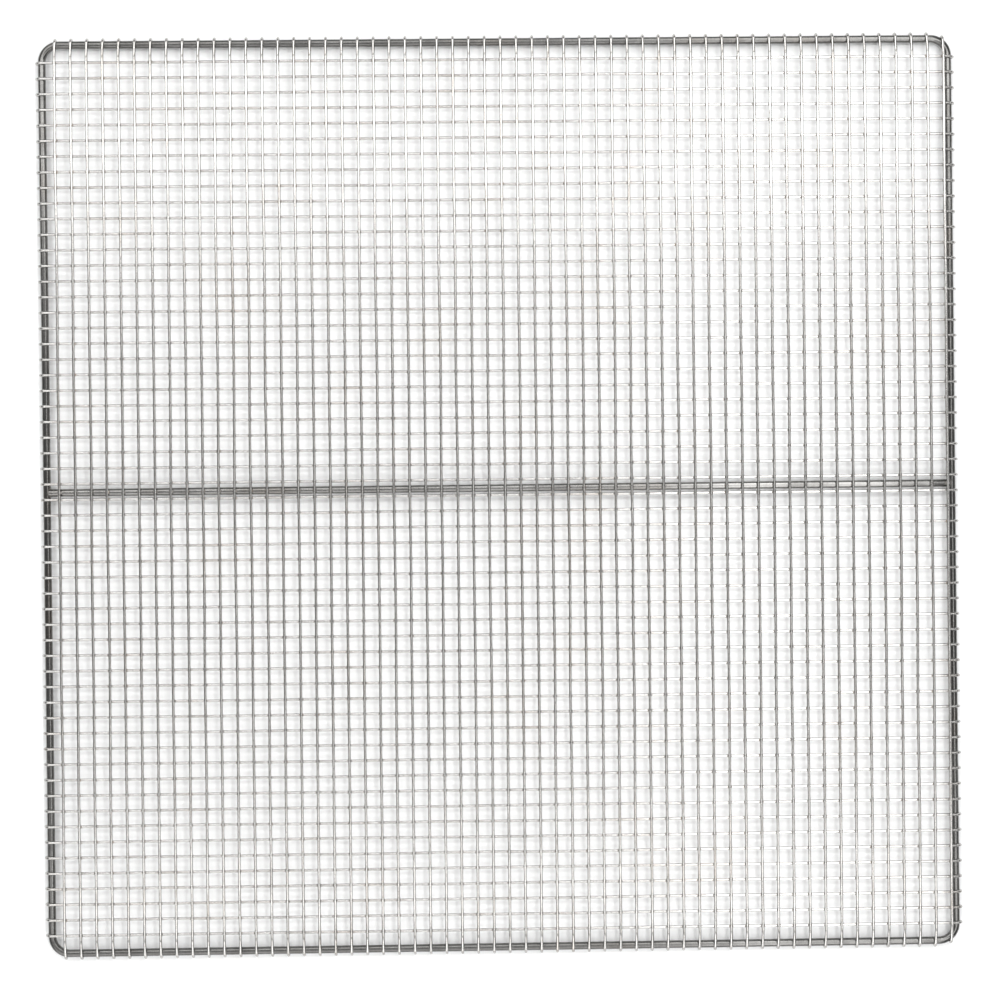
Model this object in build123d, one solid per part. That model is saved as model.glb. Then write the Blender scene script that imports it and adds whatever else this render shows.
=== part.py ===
from build123d import *

import math
import os

# Wire mesh screen: a square rim of round rod with rounded corners, one middle stay of the
# same rod, and a grid of thin wires whose ends are hooked round the rim.
# Millimetres. +Z is up, the mesh lies in XY, and the origin is under the middle, at the base.

# Rim and stay
rim_span = 575.6           # from rod centre to rod centre, the same along X and Y
rod_radius = 2.4           # 4.8 mm rod
corner_radius = 11.0       # rim corner, measured to the rod's centreline
stay_offset = 4.44         # the stay lies in Y half-way between two cross wires
stay_lap = 1.2             # how far its ends reach over the rim rod's inner edge

# Mesh
wire_radius = 0.9          # 1.8 mm wire
wire_count = 57            # wires in each direction
line_pitch = 10.06         # spacing of the line wires, which run along Y
first_line_gap = 8.65      # from the left rim rod's centre to the first line wire
cross_pitch = 9.86         # spacing of the cross wires, which run along X and are centred
wires_per_group = 2        # wires that share one sub-part

# Hooked ends
hook_turn = 200.0          # degrees that an end turns round the rod, counted from the rod's top
corner_hook_turn = 180.0   # the same where a wire meets the bend of a rim corner
draw_down_run = 8.0        # a line wire leaves its level this far before the hook's centre
draw_down_radius = 10.0    # and bends down there with this radius

# Heights are counted from the rim rod's centreline, which is rim_height over the base.
half_span = rim_span / 2
hook_radius = rod_radius + wire_radius
rim_height = hook_radius + wire_radius
cross_level = hook_radius                       # cross wires lie on the rim rod
line_level = cross_level + 2 * wire_radius      # line wires lie on the cross wires
stay_level = line_level - wire_radius - rod_radius


def rim_rod():
    """One rod bent to a closed square, as a straight side and a bend turned to each side."""
    straight = rim_span - 2 * corner_radius
    side = Pos(-straight / 2, half_span, 0) * Rot(Y=90) * Cylinder(
        rod_radius, straight, align=(Align.CENTER, Align.CENTER, Align.MIN)
    )
    section = Plane((0, corner_radius, 0), z_dir=(1, 0, 0)) * Circle(rod_radius)
    bend = Pos(straight / 2, straight / 2, 0) * revolve(section, Axis.Z, -90)
    quarters = [Rot(Z=90 * turn) * (side + bend) for turn in range(4)]
    return quarters[0].fuse(*quarters[1:])


def middle_stay(rim):
    """Straight rod across the frame under the line wires, its ends coped to the rim rod."""
    reach = half_span - rod_radius + stay_lap
    rod = Pos(0, stay_offset, stay_level) * Rot(Y=90) * Cylinder(rod_radius, 2 * reach)
    return rod - rim


def hook_centre(offset):
    """Where a wire that runs beside the middle by offset has its hook's centre, and its turn."""
    into_corner = abs(offset) - (half_span - corner_radius)
    if into_corner <= 0:
        return half_span, hook_turn
    outermost = math.sqrt((corner_radius + hook_radius) ** 2 - into_corner**2)
    return half_span - corner_radius + outermost - hook_radius, corner_hook_turn


def hooked_wire(offset, level):
    """Wire along X at a height over the rim's centreline, both ends hooked round the rim."""
    reach, turn = hook_centre(offset)
    middle = (0, level)
    hook_top = (reach, hook_radius)
    if level > hook_radius:
        # Drawn down in a straight line that meets the hook's circle at a tangent.
        distance = math.hypot(draw_down_run, level)
        slope = math.acos(hook_radius / distance) - math.atan2(draw_down_run, level)
        bend = (reach - draw_down_run, level)
        meet = (
            reach + hook_radius * math.sin(slope),
            hook_radius * math.cos(slope),
        )
        lead = FilletPolyline(middle, bend, meet, radius=draw_down_radius)
    else:
        slope = 0.0
        lead = Line(middle, hook_top)
    slope_degrees = math.degrees(slope)
    hook = CenterArc((reach, 0), hook_radius, 90 - slope_degrees, slope_degrees - turn)
    half = Plane.XZ * Curve([*lead.edges(), *hook.edges()])
    path = Wire([*half.edges(), *half.mirror(Plane.YZ).edges()])
    section = Plane(path @ 0, z_dir=path % 0) * Circle(wire_radius)
    return sweep(section, path=path)


def line_wire(index):
    """Line wire along Y, counted from the left."""
    offset = first_line_gap + index * line_pitch - half_span
    return Pos(offset, 0, 0) * Rot(Z=90) * hooked_wire(offset, line_level)


def cross_wire(index):
    """Cross wire along X, counted from the back."""
    offset = ((wire_count - 1) / 2 - index) * cross_pitch
    return Pos(0, offset, 0) * hooked_wire(offset, cross_level)


def export_group(name, solids):
    """Lift the solids on to the base and write them as one sub-part."""
    lifted = [Pos(0, 0, rim_height) * solid for solid in solids]
    shape = lifted[0] if len(lifted) == 1 else Compound(children=lifted)
    export_step(shape, f"parts/{name}.step")


os.makedirs("parts", exist_ok=True)

rim = rim_rod()
export_group("rim_rod", [rim])
export_group("middle_stay", [middle_stay(rim)])

for family, make_wire in (("line_wires", line_wire), ("cross_wires", cross_wire)):
    for number, first in enumerate(range(0, wire_count, wires_per_group), start=1):
        members = range(first, min(first + wires_per_group, wire_count))
        export_group(f"{family}_{number:02d}", [make_wire(index) for index in members])
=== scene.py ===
import math
import random

import bmesh
import bpy
from mathutils import Matrix, Vector


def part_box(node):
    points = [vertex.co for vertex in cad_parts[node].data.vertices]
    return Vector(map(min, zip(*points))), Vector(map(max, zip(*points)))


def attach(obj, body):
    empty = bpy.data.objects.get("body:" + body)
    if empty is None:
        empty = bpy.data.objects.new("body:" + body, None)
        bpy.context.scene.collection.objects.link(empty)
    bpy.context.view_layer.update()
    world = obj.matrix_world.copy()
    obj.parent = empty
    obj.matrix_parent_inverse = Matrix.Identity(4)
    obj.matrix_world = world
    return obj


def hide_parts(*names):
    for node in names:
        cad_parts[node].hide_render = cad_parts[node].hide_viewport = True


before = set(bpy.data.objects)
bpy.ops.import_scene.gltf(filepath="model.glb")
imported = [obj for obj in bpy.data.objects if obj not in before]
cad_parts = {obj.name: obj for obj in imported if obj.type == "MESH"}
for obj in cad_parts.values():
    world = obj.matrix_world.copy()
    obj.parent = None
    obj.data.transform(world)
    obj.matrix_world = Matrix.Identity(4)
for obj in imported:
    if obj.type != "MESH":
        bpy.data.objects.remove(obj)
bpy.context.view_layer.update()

# Wire mesh screen: rim of round rod, one middle stay, and a welded grid of thin wires
# whose ends are hooked round the rim. Metres, in the CAD model's frame.


class Signal:
    # Wraps a socket, so that shader maths reads as an expression.
    def __init__(self, finish, socket):
        self.finish = finish
        self.socket = socket

    def maths(self, operation, *others):
        return self.finish.node("ShaderNodeMath", {"operation": operation}, [self, *others])

    def __add__(self, other):
        return self.maths("ADD", other)

    __radd__ = __add__

    def __mul__(self, other):
        return self.maths("MULTIPLY", other)

    __rmul__ = __mul__

    def __sub__(self, other):
        return self.maths("SUBTRACT", other)

    def __rsub__(self, other):
        return self.finish.node("ShaderNodeMath", {"operation": "SUBTRACT"}, [other, self])


class Finish:
    # One material: node() makes any node and returns its first output, or the one asked for.
    def __init__(self, name):
        self.material = bpy.data.materials.new(name)
        self.material.use_nodes = True
        self.tree = self.material.node_tree
        self.shader = self.tree.nodes["Principled BSDF"]

    def node(self, kind, settings=None, inputs=None, output=0):
        made = self.tree.nodes.new(kind)
        for key, value in (settings or {}).items():
            setattr(made, key, value)
        pairs = inputs.items() if isinstance(inputs, dict) else enumerate(inputs or [])
        for key, value in pairs:
            self.feed(made.inputs[key], value)
        return Signal(self, made.outputs[output])

    def feed(self, socket, value):
        if isinstance(value, Signal):
            self.tree.links.new(value.socket, socket)
        else:
            socket.default_value = value

    def wear(self, sockets):
        for name, value in sockets.items():
            self.feed(self.shader.inputs[name], value)
        return self.material


# what all the metals share; the rest of a look is in its own dictionary further down
grainCard = {
    "warmScale": 0.37,          # warm patches against dull ones
    "dullRange": (0.42, 0.68), "warmRange": (0.52, 0.75),
    "bumpDistance": 0.00006, "streakShare": 0.7, "pitShare": 0.3, "pitRoughness": 0.06,
}


def grainedMetal(name, look, grain):
    # plated, drawn metal: streaks along the draw direction, dull and warm patches, fine pits
    finish = Finish(name)
    place = finish.node("ShaderNodeTexCoord", output="Object")

    def noise(scale, detail=3.0, rough=0.55, source=place):
        return finish.node(
            "ShaderNodeTexNoise", None,
            {"Vector": source, "Scale": scale, "Detail": detail, "Roughness": rough},
        )

    def spread(source, low, high, most):    # from 0 at low to most at high
        return finish.node(
            "ShaderNodeMapRange", None,
            {"Value": source, "From Min": low, "From Max": high, "To Min": 0.0, "To Max": most},
        )

    def mixed(share, first, second, blend="MIX"):
        return finish.node(
            "ShaderNodeMix", {"data_type": "RGBA", "blend_type": blend},
            {0: share, 6: first, 7: second}, output=2,
        )

    drawn = finish.node("ShaderNodeMapping", None, {"Vector": place, "Scale": grain})
    streaks = noise(1.0, 2.0, 0.6, drawn)
    patches = noise(look["patchScale"], 4.0)
    warmPatches = noise(look["patchScale"] * grainCard["warmScale"], 3.0)
    pits = noise(look["pitScale"], 2.0, 0.7)
    dullness = spread(patches, *grainCard["dullRange"], look["dullShare"])
    warmth = spread(warmPatches, *grainCard["warmRange"], look["warmShare"])
    clean = mixed(dullness, (*look["bright"], 1), (*look["dull"], 1))
    aged = mixed(warmth, clean, (*look["warm"], 1))
    toned = mixed(streaks * look["streakDepth"], aged, (*look["shade"], 1), "MULTIPLY")
    height = streaks * grainCard["streakShare"] + pits * grainCard["pitShare"]
    bump = finish.node(
        "ShaderNodeBump", None,
        {"Strength": look["bump"], "Distance": grainCard["bumpDistance"], "Height": height},
    )
    roughness = look["roughness"] + (patches - 0.5) * look["roughSpread"]
    return finish.wear({
        "Base Color": toned,
        "Metallic": 1.0,
        "Roughness": roughness + pits * grainCard["pitRoughness"],
        "Normal": bump,
    })


wireLook = {
    "bright": (0.57, 0.56, 0.545), "dull": (0.42, 0.41, 0.395), "warm": (0.42, 0.35, 0.28),
    "shade": (0.6, 0.59, 0.58), "dullShare": 0.6, "warmShare": 0.3, "streakDepth": 0.5,
    "patchScale": 70.0, "pitScale": 2600.0, "bump": 0.3, "roughness": 0.16, "roughSpread": 0.16,
}
rodLook = {
    "bright": (0.165, 0.163, 0.158), "dull": (0.11, 0.108, 0.105), "warm": (0.14, 0.122, 0.105),
    "shade": (0.5, 0.49, 0.48), "dullShare": 0.8, "warmShare": 0.6, "streakDepth": 0.45,
    "patchScale": 45.0, "pitScale": 1500.0, "bump": 0.35, "roughness": 0.19, "roughSpread": 0.18,
}
# the stay kept more of its plate than the rim did
stayLook = {**rodLook, "bright": (0.25, 0.247, 0.24), "dull": (0.16, 0.157, 0.152)}
beadLook = {
    "bright": (0.52, 0.50, 0.47), "dull": (0.34, 0.32, 0.30), "warm": (0.40, 0.30, 0.21),
    "shade": (0.6, 0.58, 0.55), "dullShare": 0.8, "warmShare": 0.8, "streakDepth": 0.5,
    "patchScale": 160.0, "pitScale": 3200.0, "bump": 0.6, "roughness": 0.42, "roughSpread": 0.25,
}
alongX = (25.0, 1600.0, 1600.0)
alongY = (1600.0, 25.0, 1600.0)
allRound = (420.0, 420.0, 420.0)
lineMetal = grainedMetal("lineWirePlate", wireLook, alongY)
crossMetal = grainedMetal("crossWirePlate", wireLook, alongX)
rimMetal = grainedMetal("rimRodPlate", rodLook, allRound)
stayMetal = grainedMetal("stayRodPlate", stayLook, alongX)
beadMetal = grainedMetal("weldBeadPlate", beadLook, allRound)
print("finishes ready")


rimLow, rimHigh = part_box("rim_rod")
lastLow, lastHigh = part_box("cross_wires_29")
rodRadius = (rimHigh.z - rimLow.z) / 2
rimZ = (rimHigh.z + rimLow.z) / 2
halfSpan = rimHigh.x - rodRadius
wireRadius = (lastHigh.y - lastLow.y) / 2
hookRadius = rodRadius + wireRadius
lineLevel = hookRadius + 2 * wireRadius
groupCount = 29


def groupPlaces(family, axis):
    # centre of each wire in each group, read from the CAD boxes
    places = []
    for number in range(1, groupCount + 1):
        low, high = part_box(f"{family}_{number:02d}")
        first, last = low[axis] + wireRadius, high[axis] - wireRadius
        places.append([first] if last - first < wireRadius else [first, last])
    return places


linePlaces = groupPlaces("line_wires", 0)
crossPlaces = groupPlaces("cross_wires", 1)
lineXs = [x for group in linePlaces for x in group]
crossYs = [y for group in crossPlaces for y in group]


def push(bm, ring, step):
    # extrudes an open ring of edges by a vector and returns the new ring
    made = bmesh.ops.extrude_edge_only(bm, edges=ring)["geom"]
    verts = [g for g in made if isinstance(g, bmesh.types.BMVert)]
    bmesh.ops.translate(bm, verts=verts, vec=step)
    return [g for g in made if isinstance(g, bmesh.types.BMEdge)]


def turn(bm, ring, centre, axis, angle, steps):
    # spins a ring about an axis and returns the last ring
    verts = list({v for e in ring for v in e.verts})
    made = bmesh.ops.spin(
        bm, geom=verts + ring, cent=centre, axis=axis, angle=angle, steps=steps,
        use_merge=False, use_normal_flip=False, use_duplicate=False,
    )
    return [g for g in made["geom_last"] if isinstance(g, bmesh.types.BMEdge)]


facingX = Matrix.Rotation(math.pi / 2, 4, "Y")      # stands a flat circle across X


def ringAt(bm, radius, segments, matrix):
    made = bmesh.ops.create_circle(bm, radius=radius, segments=segments, matrix=matrix)
    return list({e for v in made["verts"] for e in v.link_edges})


def closeEnd(bm, ring, radius):
    # flat sheared end with a small worn edge
    face = bmesh.ops.contextual_create(bm, geom=ring)["faces"]
    inset, depth = wireCard["endInset"], wireCard["endDepth"]
    bmesh.ops.inset_region(bm, faces=face, thickness=radius * inset, depth=radius * depth)


def finishPiece(name, bm, metal, nodes=()):
    bmesh.ops.remove_doubles(bm, verts=bm.verts, dist=1e-6)
    bmesh.ops.recalc_face_normals(bm, faces=bm.faces)
    for face in bm.faces:
        face.smooth = True
    mesh = bpy.data.meshes.new(name)
    bm.to_mesh(mesh)
    bm.free()
    mesh.materials.append(metal)
    piece = bpy.data.objects.new(name, mesh)
    bpy.context.scene.collection.objects.link(piece)
    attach(piece, "root")
    if nodes:
        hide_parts(*nodes)


wireCard = {
    "sides": 12,
    "hookTurn": 200.0,          # degrees round the rod, from its top
    "cornerTurn": 180.0,
    "hookSteps": 11,
    "drawRun": 0.008,           # a line wire leaves its level this far before the hook's centre
    "drawRadius": 0.010,
    "drawSteps": 3,
    "stations": 28,             # rings on each straight half
    "endInset": 0.22,           # worn edge of a cut end, in wire radii
    "endDepth": 0.16,
    "sway": 0.00013,            # the most that one wave moves a wire sideways
    "waves": 3,
    "waveSize": (0.3, 1.0),     # of the sway
    "waveRate": (3.0, 16.0),    # radians on each half
}
fullTurn = 6.3
rimCard = {"sides": 28, "cornerRadius": 0.011, "cornerSteps": 12, "sideSteps": 24}


def hookPlace(offset):
    # the hook's centre along the wire, and its turn, for a wire that far beside the middle
    intoCorner = abs(offset) - (halfSpan - rimCard["cornerRadius"])
    if intoCorner <= 0:
        return halfSpan, wireCard["hookTurn"]
    outermost = math.sqrt((rimCard["cornerRadius"] + hookRadius) ** 2 - intoCorner ** 2)
    return halfSpan - rimCard["cornerRadius"] + outermost - hookRadius, wireCard["cornerTurn"]


def wireMould(offset, level):
    # a wire along X with both hooks, centred on the origin, heights from the floor
    reach, hookTurn = hookPlace(offset)
    axisY = (0, 1, 0)
    bm = bmesh.new()
    stand = Matrix.Translation((0, 0, rimZ + level)) @ facingX
    ring = ringAt(bm, wireRadius, wireCard["sides"], stand)
    slope = 0.0
    run = reach
    if level > hookRadius:
        gap = math.hypot(wireCard["drawRun"], level)
        slope = math.acos(hookRadius / gap) - math.atan2(wireCard["drawRun"], level)
        tangent = wireCard["drawRadius"] * math.tan(slope / 2)
        run = reach - wireCard["drawRun"] - tangent
    for _ in range(wireCard["stations"]):
        ring = push(bm, ring, (run / wireCard["stations"], 0, 0))
    if slope:
        pivot = (run, 0, rimZ + level - wireCard["drawRadius"])
        ring = turn(bm, ring, pivot, axisY, slope, wireCard["drawSteps"])
        across, down = math.cos(slope), math.sin(slope)
        bendEnd = Vector((run + tangent * (1 + across), 0, level - tangent * down))
        meet = Vector((reach + hookRadius * down, 0, hookRadius * across))
        ring = push(bm, ring, meet - bendEnd)
    left = math.radians(hookTurn) - slope
    ring = turn(bm, ring, (reach, 0, rimZ), axisY, left, wireCard["hookSteps"])
    closeEnd(bm, ring, wireRadius)
    bmesh.ops.mirror(
        bm, geom=bm.verts[:] + bm.edges[:] + bm.faces[:], matrix=Matrix.Identity(4),
        merge_dist=1e-6, axis="X",
    )
    mould = bpy.data.meshes.new("mould")
    bm.to_mesh(mould)
    bm.free()
    return mould


def layWire(bm, mould, turned, offset, dice):
    # one wire from its mould, set beside the middle, with its own slight sideways stray
    known = len(bm.verts)
    bm.from_mesh(mould)
    bm.verts.ensure_lookup_table()
    fresh = bm.verts[known:]
    waves = []
    for _ in range(wireCard["waves"]):
        size = dice.uniform(*wireCard["waveSize"])
        rate = dice.uniform(*wireCard["waveRate"])
        waves.append((size, rate, dice.uniform(0, fullTurn)))
    for vert in fresh:
        along = vert.co.x / halfSpan
        stray = sum(size * math.sin(rate * along + start) for size, rate, start in waves)
        vert.co.y += wireCard["sway"] * stray * (1 - min(1.0, abs(along)) ** 4)
    if turned:
        quarter = Matrix.Rotation(math.pi / 2, 3, "Z")
        bmesh.ops.rotate(bm, verts=fresh, cent=(0, 0, 0), matrix=quarter)
    bmesh.ops.translate(bm, verts=fresh, vec=(offset, 0, 0) if turned else (0, offset, 0))


def makeWires(family, nodeFamily, places, level, metal, turned, dice):
    straightMould = wireMould(0.0, level)
    for number, group in enumerate(places, start=1):
        bm = bmesh.new()
        for offset in group:
            inCorner = abs(offset) > halfSpan - rimCard["cornerRadius"]
            mould = wireMould(offset, level) if inCorner else straightMould
            layWire(bm, mould, turned, offset, dice)
        name = f"{family}{number:02d}"
        finishPiece(name, bm, metal, [f"{nodeFamily}_{number:02d}"])


seed = 57
dice = random.Random(seed)
makeWires("lineWires", "line_wires", linePlaces, lineLevel, lineMetal, True, dice)
makeWires("crossWires", "cross_wires", crossPlaces, hookRadius, crossMetal, False, dice)
print("wires laid:", len(lineXs), "and", len(crossYs))


def makeRim():
    bm = bmesh.new()
    corner = rimCard["cornerRadius"]
    straight = 2 * (halfSpan - corner)
    start = Matrix.Translation((-straight / 2, halfSpan, rimZ)) @ facingX
    ring = ringAt(bm, rodRadius, rimCard["sides"], start)
    for side in range(4):
        heading = Matrix.Rotation(-side * math.pi / 2, 3, "Z")
        step = heading @ Vector((straight / rimCard["sideSteps"], 0, 0))
        for _ in range(rimCard["sideSteps"]):
            ring = push(bm, ring, step)
        pivot = heading @ Vector((straight / 2, straight / 2, 0))
        pivot.z = rimZ
        ring = turn(bm, ring, pivot, (0, 0, 1), -math.pi / 2, rimCard["cornerSteps"])
    finishPiece("rimRod", bm, rimMetal, ["rim_rod"])


stayCard = {"steps": 40, "endRound": 0.0005}
stayLow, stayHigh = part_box("middle_stay")
stayY = (stayLow.y + stayHigh.y) / 2
stayZ = (stayLow.z + stayHigh.z) / 2


def makeStay():
    bm = bmesh.new()
    length = stayHigh.x - stayLow.x
    start = Matrix.Translation((stayLow.x, stayY, stayZ)) @ facingX
    firstRing = ringAt(bm, rodRadius, rimCard["sides"], start)
    ring = firstRing
    for _ in range(stayCard["steps"]):
        ring = push(bm, ring, (length / stayCard["steps"], 0, 0))
    for end in (firstRing, ring):
        face = bmesh.ops.contextual_create(bm, geom=end)["faces"]
        rim = list({e for f in face for e in f.edges})
        bmesh.ops.bevel(
            bm, geom=rim, offset=stayCard["endRound"], segments=2, affect="EDGES",
            profile=0.5, material=-1,
        )
    finishPiece("middleStay", bm, stayMetal, ["middle_stay"])


makeRim()
makeStay()
print("rim and stay bent")


# half sizes of a bead at a crossing, and of the seam at each end of the stay
beadCard = {"across": 0.00135, "thick": 0.0005, "spread": 0.16, "segments": 8, "rings": 4}
seamCard = {
    "reach": 0.0019, "wide": 0.0031, "tall": 0.0026, "segments": 28, "rings": 18,
    "inset": 0.86,              # from the rim rod's centre, in rod radii
}


def ballMould(segments, rings):
    # a ball of unit radius, to be flattened wherever it is laid
    bm = bmesh.new()
    bmesh.ops.create_uvsphere(bm, u_segments=segments, v_segments=rings, radius=1.0)
    mould = bpy.data.meshes.new("ballMould")
    bm.to_mesh(mould)
    bm.free()
    return mould


def dropBeads(bm, spots, size, dice):
    # small flat beads of weld, a few dozen faces each
    mould = ballMould(beadCard["segments"], beadCard["rings"])
    smallest, largest = 1 - beadCard["spread"], 1 + beadCard["spread"]
    for spot in spots:
        known = len(bm.verts)
        bm.from_mesh(mould)
        bm.verts.ensure_lookup_table()
        halves = [half * dice.uniform(smallest, largest) for half in size]
        place = Matrix.Translation(spot) @ Matrix.Rotation(dice.uniform(0, fullTurn), 4, "Z")
        place = place @ Matrix.Diagonal((*halves, 1))
        bmesh.ops.transform(bm, verts=bm.verts[known:], matrix=place)


meshZ = rimZ + hookRadius + wireRadius
flat = (beadCard["across"], beadCard["across"], beadCard["thick"])
for number, group in enumerate(linePlaces, start=1):
    bm = bmesh.new()
    dropBeads(bm, [(x, y, meshZ) for x in group for y in crossYs], flat, dice)
    finishPiece(f"gridWelds{number:02d}", bm, beadMetal)

bm = bmesh.new()
dropBeads(bm, [(x, stayY, stayHigh.z) for x in lineXs], flat, dice)
finishPiece("stayWelds", bm, beadMetal)

bm = bmesh.new()
for sign in (-1, 1):
    spot = Vector((sign * (halfSpan - rodRadius * seamCard["inset"]), stayY, (rimZ + stayZ) / 2))
    size = Matrix.Diagonal((seamCard["reach"], seamCard["wide"], seamCard["tall"], 1))
    bmesh.ops.create_uvsphere(
        bm, u_segments=seamCard["segments"], v_segments=seamCard["rings"], radius=1.0,
        matrix=Matrix.Translation(spot) @ size,
    )
finishPiece("staySeams", bm, beadMetal)
print("welds set")


floorCard = {
    "size": 6.0, "drop": 0.0001, "fibreScale": 320.0, "cloudScale": 2.2,
    "cool": (0.905, 0.91, 0.915, 1), "pale": (0.93, 0.93, 0.925, 1),
}


def paperFinish():
    finish = Finish("paleFloor")
    place = finish.node("ShaderNodeTexCoord", output="Object")
    fibre = finish.node(
        "ShaderNodeTexNoise", None,
        {"Vector": place, "Scale": floorCard["fibreScale"], "Detail": 3.0},
    )
    cloud = finish.node(
        "ShaderNodeTexNoise", None,
        {"Vector": place, "Scale": floorCard["cloudScale"], "Detail": 2.0},
    )
    colour = finish.node(
        "ShaderNodeMix", {"data_type": "RGBA"},
        {0: fibre * 0.5 + cloud * 0.5, 6: floorCard["cool"], 7: floorCard["pale"]}, output=2,
    )
    return finish.wear({"Base Color": colour, "Roughness": 0.8, "Specular IOR Level": 0.1})


bm = bmesh.new()
bmesh.ops.create_grid(bm, x_segments=1, y_segments=1, size=floorCard["size"])
floorMesh = bpy.data.meshes.new("floor")
bm.to_mesh(floorMesh)
bm.free()
floorMesh.transform(Matrix.Translation((0, 0, -floorCard["drop"])))
floorMesh.materials.append(paperFinish())
floor = bpy.data.objects.new("floor", floorMesh)
bpy.context.scene.collection.objects.link(floor)

lightCard = {
    # name: (place, aim, width, length, brightness)
    "backBox": ((-0.3, 1.3, 1.3), (0, 0, 0), 2.2, 0.8, 3.0),
    "frontBox": ((-0.3, -1.45, 0.95), (0, 0, 0), 2.2, 1.3, 2.0),
    "rightStrip": ((0.44, 0.0, 1.4), (0.44, 0, 0), 0.32, 4.0, 4.0),
    "backStrip": ((0.0, 0.52, 1.4), (0, 0.52, 0), 4.0, 0.20, 4.0),
    "backHaze": ((0.0, 0.42, 1.42), (0, 0.42, 0), 4.0, 0.20, 1.6),
    "frontStrip": ((0.0, -0.54, 1.4), (0, -0.54, 0), 4.0, 0.16, 2.8),
}


def hangLight(name, place, aim, width, length, brightness):
    lamp = bpy.data.lights.new(name, "AREA")
    lamp.shape = "RECTANGLE"
    lamp.size = width
    lamp.size_y = length
    lamp.energy = brightness * math.pi * width * length
    holder = bpy.data.objects.new(name, lamp)
    holder.location = place
    holder.rotation_mode = "QUATERNION"
    holder.rotation_quaternion = (Vector(aim) - Vector(place)).to_track_quat("-Z", "Y")
    holder.visible_camera = False
    bpy.context.scene.collection.objects.link(holder)


for name, settings in lightCard.items():
    hangLight(name, *settings)

worldCard = {"colour": (0.985, 0.992, 1.0, 1), "strength": 0.26}
world = bpy.data.worlds.new("studio")
world.use_nodes = True
backdrop = world.node_tree.nodes["Background"]
backdrop.inputs["Color"].default_value = worldCard["colour"]
backdrop.inputs["Strength"].default_value = worldCard["strength"]
bpy.context.scene.world = world

cameraCard = {
    "place": (-0.0310, 0.0058, 1.5095), "tilt": (-0.331, -1.156, -0.644),   # tilt in degrees
    "lens": 85.2, "sensor": 36.0, "farthest": 20.0,
}
camera = bpy.data.objects.new("camera", bpy.data.cameras.new("camera"))
camera.data.lens = cameraCard["lens"]
camera.data.sensor_width = cameraCard["sensor"]
camera.location = cameraCard["place"]
camera.rotation_euler = [math.radians(angle) for angle in cameraCard["tilt"]]
camera.data.clip_end = cameraCard["farthest"]
bpy.context.scene.collection.objects.link(camera)
bpy.context.scene.camera = camera
bpy.context.scene.view_settings.view_transform = "Standard"

print("stage lit, camera set")
